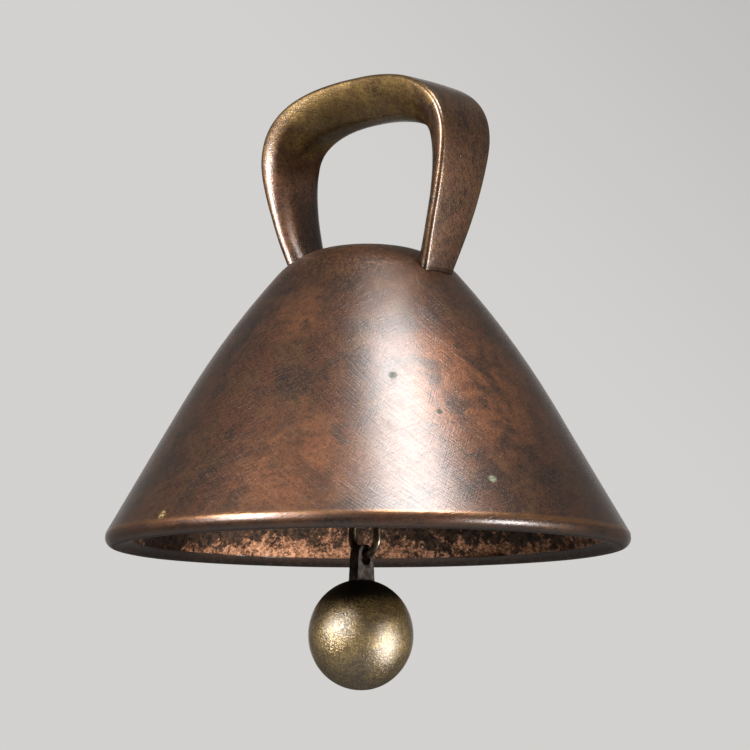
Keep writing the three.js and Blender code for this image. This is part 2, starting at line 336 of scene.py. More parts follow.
def roughen_shell(piece):
    """A faint unevenness outside, and the unworked casting's skin inside. Stores which is which."""
    spots = [screw_place(side).inverted() for side in (-1, 1)]
    mesh = piece.data
    low_edge = BEVEL.y + 0.1 * MM
    inside = mesh.attributes.new("inside", "FLOAT", "POINT")
    moved = []
    for index, vertex in enumerate(mesh.vertices):
        point = vertex.co
        deep = min(max((depth_inside(point) - 2 * MM) / (1.5 * MM), 0), 1)
        if point.z < low_edge:
            deep = 0
        machined = any((spot @ point).xy.length < SPOT_RADIUS + 0.05 * MM for spot in spots)
        rough = 0 if machined else deep
        wave = uneven(point, (0.05, 16)) - 0.03 * MM
        grain = noise.fractal(point / (3.2 * MM), 0.9, 2.1, 3)
        skin = 0.22 * MM * grain + uneven(point, (0.3, 9))
        lift = (1 - deep) * wave + rough * skin
        moved.append(point + vertex.normal * lift)
        inside.data[index].value = rough
    for vertex, place in zip(mesh.vertices, moved):
        vertex.co = place


def make_shell(material):
    """The shell with its boss, the eye screw's blind hole, and the two screws' spot faces and holes."""
    shell = lathe("shell", shell_outline(), 288)
    boss_bottom = nut_high.z + 0.3 * MM
    boss = rod("boss", BOSS_RADIUS, boss_bottom, DOME - WALL / 2, 64, hang_axis)
    eye_hole = rod("eye_hole", EYE_HOLE, boss_bottom - MM, DOME - EYE_HOLE_ROOF, 32, hang_axis)
    combine(shell, boss, "UNION")
    combine(shell, eye_hole)
    for side in (-1, 1):
        place = screw_place(side)
        combine(shell, rod("spot", SPOT_RADIUS, -CUT_LENGTH, 0, 64, place=place))
        combine(shell, rod("hole", SCREW_HOLE, -MM, CUT_LENGTH, 32, place=place))
    roughen_shell(shell)
    return install(shell, "bell", "bell_shell", material)


# ---- the handle ----

HANDLE_TOP = handle_high.z
HANDLE_HALF = (handle_high.x - handle_low.x) / 2
FOOT = Vector((19 * MM, LIP + 57.1 * MM))
LEAN = math.radians(19.8)
LEG_REACHES = (4.9 * MM, 7.6 * MM)
WIDE_HEIGHT = LIP + 84.3 * MM
SHOULDER_REACHES = (10.7 * MM, 16 * MM)
HANDLE_WIDTHS = [9.2 * MM, 13 * MM, 15.4 * MM, 16 * MM, 13.2 * MM]
HANDLE_DEPTHS = [4.5 * MM, 4.6 * MM, 7.4 * MM, 9 * MM, 9.4 * MM]
ARRIS_ROUND = 0.9 * MM
FACE_BULGE = 0.18 * MM  # the flat face stands out this much along its middle
ROOT = 5 * MM  # the loop is drawn from this far inside the dome, then cut off at it
ROOT_STEPS = 6
CURVE_STEPS = 44
FOOT_RINGS = 5
HOLE_DEPTH = 6.2 * MM  # of the screw's blind hole in a foot
INNER_FACE = 0.34  # width of the narrow inner face over the width of the flat outer one
SIDE_ROUNDNESS = (1.95, 1.4)  # foot, top; 1 makes the slanted sides flat, 2 parts of an ellipse
RIDGE_SOFTNESS = 12  # the larger, the sharper the two ridges beside the inner face


def cubic(a, b, c, d, t):
    """The point at t of a cubic curve, and its direction there."""
    s = 1 - t
    point = a * s**3 + b * (3 * s * s * t) + c * (3 * s * t * t) + d * t**3
    slope = (b - a) * (s * s) + (c - b) * (2 * s * t) + (d - c) * (t * t)
    return point, slope.normalized()


def through(values, t):
    """A smooth curve through evenly spaced values, at t from 0 to 1."""
    place = t * (len(values) - 1)
    i = min(int(place), len(values) - 2)
    w = place - i
    a, b, c, d = (values[min(max(i + k, 0), len(values) - 1)] for k in (-1, 0, 1, 2))
    square = (2 * a - 5 * b + 4 * c - d) * w**2
    cube = (3 * b - a - 3 * c + d) * w**3
    return 0.5 * (2 * b + (c - a) * w + square + cube)


def handle_spine():
    """The outer face's points, directions and places along (0 to 1), from under the right foot to the top."""
    up_leg = Vector((math.sin(LEAN), math.cos(LEAN)))
    wide = Vector((HANDLE_HALF, WIDE_HEIGHT))
    top = Vector((0, HANDLE_TOP))
    leg = (FOOT, FOOT + up_leg * LEG_REACHES[0], wide - Vector((0, LEG_REACHES[1])), wide)
    shoulder = (wide, wide + Vector((0, SHOULDER_REACHES[0])), top + Vector((SHOULDER_REACHES[1], 0)), top)
    spine = []
    for step in range(ROOT_STEPS):
        spine.append((FOOT - up_leg * ROOT * (1 - step / ROOT_STEPS), up_leg, 0))
    for start, curve in ((0, leg), (0.5, shoulder)):
        for step in range(CURVE_STEPS):
            t = step / CURVE_STEPS
            spine.append((*cubic(*curve, t), start + t / 2))
    spine.append((top, Vector((-1, 0)), 1))
    return spine


def section_places(width, depth, roundness):
    """Once round the section: offsets (front to back, inwards), distance to the nearer arris, flatness.

    The outer face is flat. The inner side is a soft trapezium with a narrow face between two ridges.
    """
    flat = width / 2 - ARRIS_ROUND
    start = FACE_BULGE + ARRIS_ROUND
    places = []
    for step in range(1, 12):
        y = flat * (1 - 2 * step / 12)
        places.append((-y, FACE_BULGE * (y / flat) ** 2, flat - abs(y), 1))
    arris = []
    for step in range(7):
        angle = math.pi / 2 * step / 6
        inwards = FACE_BULGE + ARRIS_ROUND * (1 - math.cos(angle))
        arris.append((flat + ARRIS_ROUND * math.sin(angle), inwards, 0, 1 - step / 6))
    places += arris
    for step in range(1, 36):
        angle = math.pi * step / 36
        across = math.cos(angle)
        in_part = math.sin(angle)
        slant = abs(across) ** roundness + in_part ** roundness * (1 - INNER_FACE ** roundness)
        slant **= 1 / roundness
        reach = (slant ** RIDGE_SOFTNESS + in_part ** RIDGE_SOFTNESS) ** (-1 / RIDGE_SOFTNESS)
        y = width / 2 * across * reach
        inwards = start + (depth - start) * in_part * reach
        places.append((y, inwards, math.hypot(width / 2 - abs(y), inwards - start), 0))
    return places + [(-y, *rest) for y, *rest in reversed(arris)]


def handle_rows():
    """The sections of one side as lists of (point, distance to the arris, place along, flatness)."""
    rows = []
    foot, top = SIDE_ROUNDNESS
    for point, along, t in handle_spine():
        inwards = Vector((-along.y, along.x))
        row = []
        roundness = foot + (top - foot) * t ** 2
        places = section_places(through(HANDLE_WIDTHS, t), through(HANDLE_DEPTHS, t), roundness)
        for y, depth, edge, flat in places:
            place = point + inwards * depth
            row.append((Vector((place.x, y, place.y)), edge, t, flat))
        rows.append(row)
    return rows


def above_dome(point, shift):
    """How far a point of the handle is above the seam's surface, straight up."""
    return point.z - dome_height(math.hypot(point.x + shift, point.y)) - SEAM


def land_on_dome(rows, shift):
    """Shortens each line along the leg so that it starts on the dome, and spreads its points again."""
    fixed = ROOT_STEPS + 10
    for column in range(len(rows[0])):
        line = [row[column] for row in rows[: fixed + 1]]
        heights = [above_dome(place[0], shift) for place in line]
        first = next(i for i, height in enumerate(heights) if height > 0)
        part = -heights[first - 1] / (heights[first] - heights[first - 1])
        start = first - 1 + part
        for i in range(fixed):
            place = start + (fixed - start) * i / fixed
            low = int(place)
            share = place - low
            point = line[low][0].lerp(line[low + 1][0], share)
            edge = line[low][1] * (1 - share) + line[low + 1][1] * share
            rows[i][column] = (point, edge, line[low][2], line[low][3])
    return rows


def foot_rows(row, side):
    """Rings that close a foot along the dome down to the screw's hole, and the hole's tip."""
    place = screw_place(side)
    axis = (place.to_3x3() @ UP).normalized()
    x = handle_middle + side * SCREW_OUT
    centre = Vector((x, 0, dome_height(abs(x)) + SEAM))
    rim = []
    for point in row:
        out = point - centre
        out = (out - axis * out.dot(axis)).normalized()
        rim.append(centre + out * SCREW_HOLE)
    closing = []
    for ring in range(1, FOOT_RINGS + 1):
        points = []
        for point, hole in zip(row, rim):
            mid = point.lerp(hole, ring / FOOT_RINGS)
            mid.z = dome_height(math.hypot(mid.x, mid.y)) + SEAM
            points.append(mid)
        closing.append(points)
    blind = [point + axis * HOLE_DEPTH for point in rim]
    return closing + [blind], centre + axis * (HOLE_DEPTH + 0.4 * MM)


def make_handle(material):
    """The loop, as one closed surface that lands on the dome and is hollow where its screws go."""
    shape = bmesh.new()
    layers = [shape.verts.layers.float.new(name) for name in ("edge", "along", "flat")]
    loop = []
    for side in (1, -1):
        rows = land_on_dome(handle_rows(), side * handle_middle)
        half = []
        for row in rows:
            half.append([(Vector((handle_middle + side * p.x, p.y, p.z)), *rest) for p, *rest in row])
        loop += half if side > 0 else half[-2::-1]
    rows = []
    for row in loop:
        verts = []
        for point, edge, along, flat in row:
            wave = uneven(point, (0.03, 7), (0.012, 2.5))
            vert = shape.verts.new(point + Vector((wave, wave, wave)))
            for layer, value in zip(layers, (edge / MM, along, flat)):
                vert[layer] = value
            verts.append(vert)
        rows.append(verts)
    for side, end in ((1, rows[0]), (-1, rows[-1])):
        closing, tip = foot_rows([vert.co.copy() for vert in end], side)
        rings = [end] + [[shape.verts.new(point) for point in points] for points in closing]
        stitch(shape, rings + [[shape.verts.new(tip)]])
    stitch(shape, rows)
    handle = finish_mesh("loop_handle", shape, 50)
    return install(handle, "bell", "handle", material)


# ---- the fastenings ----

WASHER_TOP = -0.3 * MM
HEAD_TOP = WASHER_TOP - 0.8 * MM
HEAD_RIM = 0.5 * MM
HEAD_CROWN = 1.1 * MM
HEAD_BOTTOM = HEAD_TOP - HEAD_RIM - HEAD_CROWN
HEAD_RADIUS = 2.25 * MM
SLOT_WIDTH = 0.6 * MM
SLOT_DEPTH = 0.7 * MM
SCREW_RADIUS = 1.15 * MM
SCREW_END = 9 * MM  # above its spot face
EYE_THREAD = 1.5 * MM


def thread_outline(radius, depth, top, bottom, turns):
    """The zigzag outline of a thread, from its top down."""
    pitch = (top - bottom) / turns
    points = []
    for turn in range(turns):
        crest = top - pitch * turn
        points += [(radius, crest), (radius - depth, crest - pitch / 2)]
    return points + [(radius, bottom)]


def make_screw(word, side, material):
    """A slotted screw, head down, with its axis through the dome into a foot."""
    tip = SCREW_END - 0.4 * MM
    outline = [(0, SCREW_END), (0.8 * MM, SCREW_END), (SCREW_RADIUS, tip)]
    outline += thread_outline(SCREW_RADIUS, 0.18 * MM, SCREW_END - 0.6 * MM, HEAD_TOP, 18)
    outline.append((HEAD_RADIUS - 0.1 * MM, HEAD_TOP))
    for step in range(9):
        angle = math.pi / 2 * step / 8
        radius = HEAD_RADIUS * math.cos(angle) ** 0.6 if step < 8 else 0
        outline.append((radius, HEAD_TOP - HEAD_RIM - HEAD_CROWN * math.sin(angle)))
    piece = lathe("screw_" + word, outline, 40)
    slot = block("slot", (3 * HEAD_RADIUS, SLOT_WIDTH, 2 * SLOT_DEPTH), (0, 0, HEAD_BOTTOM))
    combine(piece, slot)
    piece.data.transform(screw_place(side))
    return install(piece, "bell", "handle_screw_" + word, material)


def make_washer(word, side, material):
    """A plain washer with rounded edges."""
    inner = SCREW_HOLE
    outer = 2.8 * MM
    low = WASHER_TOP - 0.5 * MM
    sides = ((inner, WASHER_TOP), (outer, WASHER_TOP), (outer, low), (inner, low))
    corners = [Vector(corner) for corner in sides]
    outline = []
    for i, corner in enumerate(corners):
        outline += rounded_corner(corners[i - 1], corner, corners[(i + 1) % 4], 0.12 * MM, 3)
    piece = lathe("washer_" + word, outline, 48)
    piece.data.transform(screw_place(side))
    return install(piece, "bell", "handle_washer_" + word, material)


def make_lock_nut(material):
    """A hexagon nut: a six-sided rod with its corners turned off."""
    low = nut_low.z
    high = nut_high.z
    radius = (nut_high.y - nut_low.y) / 2
    face = radius * 0.88
    full = radius * 1.05
    slant = 0.55 * MM
    piece = rod("lock_nut", radius, low, high, 6, hang_axis)
    turned = [(0, high), (face, high), (full, high - slant), (full, low + slant), (face, low), (0, low)]
    combine(piece, lathe("turned", turned, 64, hang_axis), "INTERSECT")
    combine(piece, rod("nut_hole", EYE_HOLE, low - MM, high + MM, 40, hang_axis))
    soften(piece, 0.08 * MM)
    return install(piece, "bell", "eye_lock_nut", material)


# ---- the chain ----

HANGER_WIRE = 0.8 * MM
EYE_WIRE = MM
EYE_OPEN = 26  # degrees round from the shank to where an eye's bend starts
EYE_CLOSED = 340  # and to its cut end
RING_SHIFT = Vector((0.65, 0.38, 0)) * MM  # the lower ring has slid to one side of the tab's hole


def arc(centre, radius, start, end, steps, across):
    """Points of an upright arc. Its angles, in degrees, are measured from the across direction up."""
    points = []
    for step in range(steps + 1):
        angle = math.radians(start + (end - start) * step / steps)
        points.append(centre + across * (radius * math.cos(angle)) + UP * (radius * math.sin(angle)))
    return points


def make_link(name, node, body, material, joint_angle, shift=Vector((0, 0, 0))):
    """A link bent from wire, with a fine gap where its two ends meet."""
    low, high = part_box(node)
    wire = (high.y - low.y) / 2
    end_radius = (high.x - low.x) / 2 - wire
    straight = (high.z - low.z) / 2 - wire - end_radius
    middle = (low + high) / 2 + shift
    loop = arc(middle + UP * straight, end_radius, 0, 180, 36, ALONG)
    loop += arc(middle - UP * straight, end_radius, 180, 360, 36, ALONG)
    start = min(range(len(loop)), key=lambda i: abs(angle_of(loop[i] - middle) - joint_angle))
    path = loop[start:] + loop[:start]
    path.append(path[0].copy())
    slit = (path[1] - path[0]).normalized() * 0.04 * MM
    path[0] = path[0] + slit
    path[-1] = path[-1] - slit
    piece = sweep(name, path, wire, 20)
    return install(piece, body, node, material)


def angle_of(offset):
    """The direction of an offset in the XZ plane, in degrees."""
    return math.degrees(math.atan2(offset.z, offset.x)) % 360


def eye_path(centre, radius, side):
    """A wire bent round into an eye above or below a shank, from the shank's end round to it again."""
    bottom = centre - UP * side * radius
    points = arc(centre, radius, side * (EYE_OPEN - 90), side * (EYE_CLOSED - 90), 44, ACROSS)
    return [bottom - UP * side * 1.6 * MM, bottom - UP * side * 0.7 * MM, *points]


def rounded_path(points):
    """Cuts the corners of a path a little, so that its bends are round."""
    cut = []
    for a, b in zip(points, points[1:]):
        cut += [a.lerp(b, 0.25), a.lerp(b, 0.75)]
    return [points[0], *cut, points[-1]]


def make_hanger(material):
    """A straight wire with an eye bent at each end."""
    wire = HANGER_WIRE
    radius = (hanger_high.y - hanger_low.y) / 2 - wire
    upper = Vector((hang_x, 0, hanger_high.z - wire - radius))
    lower = Vector((hang_x, 0, hanger_low.z + wire + radius))
    top_eye = eye_path(upper, radius, 1)
    bottom_eye = eye_path(lower, radius, -1)
    shank = [top_eye[0].lerp(bottom_eye[0], step / 12) for step in range(1, 12)]
    path = rounded_path(top_eye[::-1] + shank + bottom_eye)
    piece = sweep("hanger", path, wire, 16)
    return install(piece, "hanger", "hanger_wire", material)


def make_crown_eye(material):
    """An eye bent from wire, on the threaded shank that goes up through the nut into the boss."""
    wire = EYE_WIRE
    radius = (eye_high.y - eye_low.y) / 2 - wire
    centre = Vector((hang_x, 0, eye_low.z + wire + radius))
    piece = sweep("eye_screw", rounded_path(eye_path(centre, radius, 1)[::-1]), wire, 20)
    outline = [(0, eye_high.z), (1.1 * MM, eye_high.z)]
    outline += thread_outline(EYE_THREAD, 0.22 * MM, eye_high.z - 0.4 * MM, nut_low.z, 16)
    shank_low = centre.z + radius
    outline += [(EYE_THREAD, shank_low + 0.5 * MM), (1.2 * MM, shank_low), (0, shank_low)]
    combine(piece, lathe("thread", outline, 32, hang_axis), "UNION")
    return install(piece, "bell", "crown_eye", material)


# ---- the clapper ----

TAB_NARROW = 0.84  # the tab's width at its hole, as a share of its width at the ball
TAB_HOLE = 1.4 * MM
BALL_SHIFT = Vector((-0.25 * MM, 0, 0))  # the ball sits a little off the tab's middle
TANG_RADIUS = 1.3 * MM
BALL_HOLE = 1.65 * MM  # blind, for the tab's tang
SEAT_SINK = 0.03 * MM  # the tab's foot goes this far into the ball, so that no gap shows


def tab_outline():
    """The tab's outline (across, height): a round top, and sides that spread to the ball."""
    half = (tab_high.y - tab_low.y) / 2
    narrow = half * TAB_NARROW
    centre = tab_high.z - narrow
    points = [Vector((-half, ball_high.z - MM)), Vector((half, ball_high.z - MM))]
    for step in range(25):
        angle = math.pi * step / 24
        points.append(Vector((narrow * math.cos(angle), centre + narrow * math.sin(angle))))
    return points


def ball_outline(offset, start, steps):
    """Points (radius, height) down the ball's side, from an angle at its top to its lowest point."""
    middle = (ball_high.z + ball_low.z) / 2
    wide = (ball_high.x - ball_low.x) / 2 + offset
    tall = (ball_high.z - ball_low.z) / 2 + offset
    points = []
    for step in range(steps + 1):
        angle = start + (math.pi - start) * step / steps
        out = wide * math.sin(angle) if 0 < step < steps or start > 0 and step < steps else 0
        points.append(Vector((out, middle + tall * math.cos(angle))))
    return points


def make_tab(material):
    """The flat tab: its hole is a short slot, and a round tang under it goes into the ball."""
    half = (tab_high.x - tab_low.x) / 2
    middle = (tab_high.x + tab_low.x) / 2
    shape = bmesh.new()
    rows = []
    for x in (middle - half, middle + half):
        rows.append([shape.verts.new((x, point.x, point.y)) for point in tab_outline()])
    stitch(shape, rows)
    for row in rows:
        shape.faces.new(row)
    piece = finish_mesh("steel_tab", shape)
    for drop in (0, 0.9 * MM):
        hole = rod("tab_hole", TAB_HOLE, -3 * MM, 3 * MM, 40)
        hole.data.transform(Matrix.Rotation(math.pi / 2, 4, "Y"))
        hole.data.transform(Matrix.Translation((middle, 0, hinges["link_to_clapper"].z - drop)))
        combine(piece, hole)
    soften(piece, 0.28 * MM, 3)
    foot = Vector((middle, 0))
    seat = lathe("seat", ball_outline(-SEAT_SINK, 0, 60), 96, foot + BALL_SHIFT.xy)
    combine(piece, seat)
    tang = rod("tang", TANG_RADIUS, tab_low.z, ball_high.z + 0.6 * MM, 32, foot)
    combine(piece, tang, "UNION")
    return install(piece, "clapper", "clapper_tab", material)


def make_ball(material):
    centre = (ball_low + ball_high) / 2 + BALL_SHIFT
    wide = (ball_high.x - ball_low.x) / 2
    side = ball_outline(0, math.asin((BALL_HOLE + 0.15 * MM) / wide), 110)
    bottom = tab_low.z - 0.3 * MM
    outline = [(0, bottom), (BALL_HOLE, bottom), (BALL_HOLE, side[0].y - 0.15 * MM), *side]
    piece = lathe("ball", outline, 180, centre.xy, 40)
    for vertex in piece.data.vertices:
        out = vertex.co - centre
        if out.length > 0.9 * wide:
            vertex.co += out.normalized() * (uneven(vertex.co, (0.05, 6), (0.02, 1.6)) - 0.05 * MM)
    return install(piece, "clapper", "clapper_ball", material)


# ---- materials ----

SHEET_RADIUS = 40  # millimetres of the unrolled sheet for each radian round the bell


class Nodes:
    """A node tree, with a short call for each kind of node."""

    def __init__(self, tree):
        self.tree = tree
        tree.nodes.clear()

    def node(self, kind, inputs=None, **settings):
        """A node with its settings, and with its inputs by name or number."""
        made = self.tree.nodes.new(kind)
        for key, value in settings.items():
            setattr(made, key, value)
        for key, value in (inputs or {}).items():
            self.set(made.inputs[key], value)
        return made

    def set(self, socket, value):
        """Links a socket to another one, or sets it to a constant."""
        if isinstance(value, bpy.types.NodeSocket):
            self.tree.links.new(value, socket)
        elif socket.type == "RGBA":
            socket.default_value = (*value, 1)
        else:
            socket.default_value = value

    def math(self, operation, a, b=0):
        return self.node("ShaderNodeMath", {0: a, 1: b}, operation=operation).outputs[0]

    def fold(self, operation, values):
        """One operation on a list of values in turn."""
        total = values[0]
        for value in values[1:]:
            total = self.math(operation, total, value)
        return total

    def plus(self, *values):
        return self.fold("ADD", values)

    def times(self, *values):
        return self.fold("MULTIPLY", values)

    def most(self, *values):
        return self.fold("MAXIMUM", values)

    def less(self, value):
        """1 less the value."""
        return self.math("SUBTRACT", 1, value)

    def swing(self, centre, value, amount):
        """A centre moved up where a noise is above 0.5 and down where it is below."""
        return self.plus(centre, self.times(self.math("SUBTRACT", value, 0.5), amount))

    def vector(self, operation, a, b, output="Vector"):
        return self.node("ShaderNodeVectorMath", {0: a, 1: b}, operation=operation).outputs[output]

    def split(self, place):
        return self.node("ShaderNodeSeparateXYZ", {0: place}).outputs

    def ramp(self, value, low, high, start=0, end=1):
        """A smooth step from start to end as the value goes from low to high."""
        inputs = {"Value": value, "From Min": low, "From Max": high, "To Min": start, "To Max": end}
        return self.node("ShaderNodeMapRange", inputs, interpolation_type="SMOOTHSTEP").outputs["Result"]

    def mix(self, amount, a, b):
        """Two colours mixed by an amount."""
        return self.node("ShaderNodeMix", {0: amount, 6: a, 7: b}, data_type="RGBA").outputs[2]

    def blend(self, amount, a, b):
        """Two numbers mixed by an amount."""
        return self.node("ShaderNodeMix", {0: amount, 2: a, 3: b}, data_type="FLOAT").outputs[0]

    def seen(self):
        """1 for rays straight from the camera, 0 for all others."""
        return self.node("ShaderNodeLightPath").outputs["Is Camera Ray"]


class Finish(Nodes):
    """A material whose colour is painted on, one layer over another."""

    def __init__(self, name):
        self.material = bpy.data.materials.new(name)
        self.material.use_nodes = True
        super().__init__(self.material.node_tree)
        self.color = None
        self.shader = self.node("ShaderNodeBsdfPrincipled")
        self.node("ShaderNodeOutputMaterial", {0: self.shader.outputs[0]})
        rest = self.node("ShaderNodeTexCoord").outputs["Object"]
        scaled = self.node("ShaderNodeVectorMath", {0: rest, "Scale": 1 / MM}, operation="SCALE")
        self.place = scaled.outputs[0]  # the place on the object at rest, in millimetres
        self.x, self.y, self.z = self.split(self.place)

    def put(self, name, value):
        """Sets one of the shader's inputs."""
        self.set(self.shader.inputs[name], value)

    def paint(self, amount, color):
        self.color = self.mix(amount, self.color, color)

    def unrolled(self):
        """The bell's outside as a flat sheet in millimetres: its girth from the front, and the height."""
        x, y, _ = self.split(self.stretched((1, 1, 1), (0, 0, -math.degrees(CAMERA_TURN))))
        girth = self.times(self.math("ARCTAN2", x, self.times(y, -1)), SHEET_RADIUS)
        return self.node("ShaderNodeCombineXYZ", {0: girth, 1: self.z}).outputs[0]

    def stretched(self, stretch, turn=(0, 0, 0), shift=(0, 0, 0), place=None):
        """The place turned, scaled by a number per axis and shifted."""
        inputs = {"Vector": place or self.place, "Rotation": [math.radians(angle) for angle in turn]}
        turned = self.node("ShaderNodeMapping", inputs, vector_type="POINT").outputs[0]
        return self.vector("ADD", self.vector("MULTIPLY", turned, stretch), shift)

    def noise(self, size, detail=3, rough=0.55, shift=0, place=None, wobble=0):
        """Noise between about 0.25 and 0.75 with blotches of a size in millimetres."""
        if place is None:
            place = self.stretched((1, 1, 1), shift=(shift, 0.37 * shift, 0.71 * shift))
        inputs = {"Scale": 1 / size, "Detail": detail, "Roughness": rough, "Distortion": wobble}
        return self.node("ShaderNodeTexNoise", {"Vector": place, **inputs}).outputs["Fac"]

    def radius(self):
        """The distance from the bell's axis in millimetres."""
        return self.math("SQRT", self.plus(self.math("POWER", self.x, 2), self.math("POWER", self.y, 2)))

    def above_lip(self):
        return self.math("SUBTRACT", self.z, LIP / MM)

    def attribute(self, name):
        return self.node("ShaderNodeAttribute", attribute_name=name).outputs["Fac"]

    def strokes(self, turns, fine, length, place=None):
        """Noise of short strokes for each direction."""
        stretch = (1 / fine, 1 / length, 1 / length)
        for i, turn in enumerate(turns):
            moved = self.stretched(stretch, turn, (9.1 * i, 4.7 * i, 2.3 * i), place)
            yield self.noise(1, 0.5, 0.5, place=moved)

    def brushed(self, turns, fine, length, place=None):
        """A fine grain of short strokes in several directions, about 0.5 on average."""
        total = self.plus(0, *self.strokes(turns, fine, length, place))
        return self.math("DIVIDE", total, len(turns))

    def bump(self, height, distance, strength, below=None):
        node = self.node("ShaderNodeBump", {"Strength": strength, "Distance": distance, "Height": height})
        if below is not None:
            self.set(node.inputs["Normal"], below)
        return node.outputs[0]

    def spot(self, centre, radius, soft=0.5):
        """1 inside a small ball round a place in millimetres, fading out at its edge."""
        away = self.vector("DISTANCE", self.place, centre, "Value")
        return self.ramp(away, radius * (1 - soft), radius * (1 + soft), 1, 0)


def on_shell(turn, height):
    """A place on the shell's outside, in millimetres: degrees round from the camera, and above the lip."""
    z = LIP + height * MM
    high, low = next(pair for pair in zip(OUTSIDE, OUTSIDE[1:]) if pair[1].y <= z)
    radius = high.x + (low.x - high.x) * (high.y - z) / (high.y - low.y)
    angle = CAMERA_TURN + math.radians(turn)
    return radius * math.sin(angle) / MM, -radius * math.cos(angle) / MM, LIP / MM + height


# Degrees round from the camera, height above the lip and radius in millimetres, strength.
RUST_SPOTS = ((34, 30, 15, 1), (48, 22, 9, 0.5), (-18, 13, 12, 0.7), (-30, 46, 7, 0.6))


def paint_patina(f):
    """Brown patina in rust-red, umber and yellow-brown clouds with a dark speckle."""
    clouds = f.noise(17, 4, 0.6, wobble=0.5)
    patches = f.noise(6, 4, 0.58, 31, wobble=0.3)
    dark = f.noise(9, 4, 0.6, 83, wobble=0.3)
    grain = f.noise(0.9, 4, 0.75, 57)
    flecks = f.noise(0.32, 3, 0.6, 71)
    f.color = f.mix(f.ramp(clouds, 0.4, 0.58), (0.036, 0.015, 0.008), (0.083, 0.026, 0.009))
    f.paint(f.times(f.ramp(patches, 0.48, 0.62), 0.85), (0.094, 0.042, 0.014))
    for turn, height, size, amount in RUST_SPOTS:
        rust = f.times(f.spot(on_shell(turn, height), size, 0.6), f.ramp(patches, 0.34, 0.56, 0.3, 1))
        f.paint(f.times(rust, amount), (0.25, 0.09, 0.034))
    f.paint(f.times(f.ramp(dark, 0.5, 0.64), 0.8), (0.019, 0.011, 0.007))
    f.paint(f.ramp(grain, 0.42, 0.64, 0, 0.5), (0.014, 0.006, 0.004))
    f.paint(f.ramp(flecks, 0.55, 0.64, 0, 0.6), (0.16, 0.072, 0.032))
    f.paint(f.ramp(flecks, 0.46, 0.36, 0, 0.6), (0.008, 0.004, 0.003))
    crown = f.ramp(f.radius(), 27, 14)
    mottle = f.noise(0.75, 4, 0.75, 64)
    f.paint(f.times(crown, f.ramp(mottle, 0.52, 0.6, 0, 0.75)), (0.24, 0.115, 0.052))
    f.paint(f.times(crown, f.ramp(mottle, 0.48, 0.4, 0, 0.75)), (0.012, 0.007, 0.005))


def inside_color(f):
    """The casting's skin: bright copper near the lip, and dark grey scale above it, with painted light and
    shade on the back wall.
    """
    height = f.above_lip()
    coarse = f.noise(4, 6, 0.75, 7, wobble=0.2)
    fine = f.noise(1.3, 5, 0.8, 77)
    amount = f.plus(f.times(coarse, 0.7), f.times(fine, 0.45), f.ramp(height, 2, 7.5, 0.03, -0.09))
    # Painted light and shade on the cast skin: more copper on the back wall where the lamps light it, and
    # less at its left end, which lies in shadow.
    for turn, size, painted_light_and_shade in ((198, 16, 0.06), (250, 18, -0.1)):
        amount = f.plus(amount, f.times(f.spot(on_shell(turn, 3), size), painted_light_and_shade))
    copper = f.ramp(amount, 0.53, 0.62)
    scale = f.mix(f.ramp(f.noise(1.3, 4, 0.6, 21), 0.4, 0.6), (0.032, 0.022, 0.017), (0.1, 0.058, 0.038))
    metal = f.mix(f.ramp(f.noise(0.8, 4, 0.8, 15), 0.4, 0.58), (0.2, 0.08, 0.038), (0.7, 0.37, 0.215))
    return f.mix(copper, scale, metal), copper


